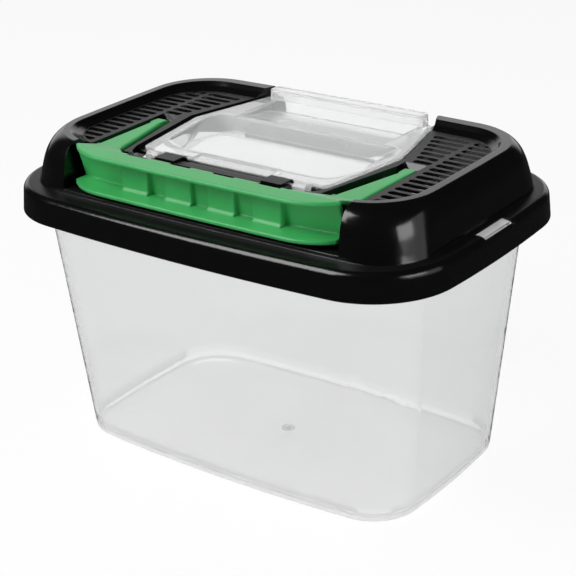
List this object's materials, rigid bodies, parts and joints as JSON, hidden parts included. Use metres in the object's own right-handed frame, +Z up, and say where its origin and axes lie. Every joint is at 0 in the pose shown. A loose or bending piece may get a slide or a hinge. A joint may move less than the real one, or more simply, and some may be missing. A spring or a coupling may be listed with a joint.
{
  "type": "plastic pet keeper",
  "caption": "Clear plastic keeper tank for small animals with a slotted black lid, a clear hinged feeding door and a green folding carrying handle.",
  "frame": {"origin": "centre of the outline at the tank's base", "axes": "+Z up, +X along the length, -Y towards the handle's grip at the front"},
  "size_m": [0.3, 0.2052, 0.2007],
  "materials": {
    "clear_plastic": "clear and polished",
    "door_plastic": "clear and polished",
    "black_plastic": "gloss on the walls, fine matte grain on the top faces",
    "green_plastic": "satin"
  },
  "bodies": {
    "tank": {"tank": "clear_plastic"},
    "lid": {"lid": "black_plastic"},
    "door": {"door": "door_plastic"},
    "handle": {"handle": "green_plastic"}
  },
  "joints": [
    {"name": "lid_lift", "type": "slide", "parent": "tank", "child": "lid", "axis": [0, 0, 1], "range_m": [0, 0.08]},
    {"name": "door_hinge", "type": "hinge", "parent": "lid", "child": "door", "pos_m": [0, -0.053, 0.1918], "axis": [1, 0, 0], "range_deg": [0, 100]},
    {"name": "handle_pivot", "type": "hinge", "parent": "lid", "child": "handle", "pos_m": [0, -0.001, 0.1893], "axis": [-1, 0, 0], "range_deg": [0, 120]}
  ]
}
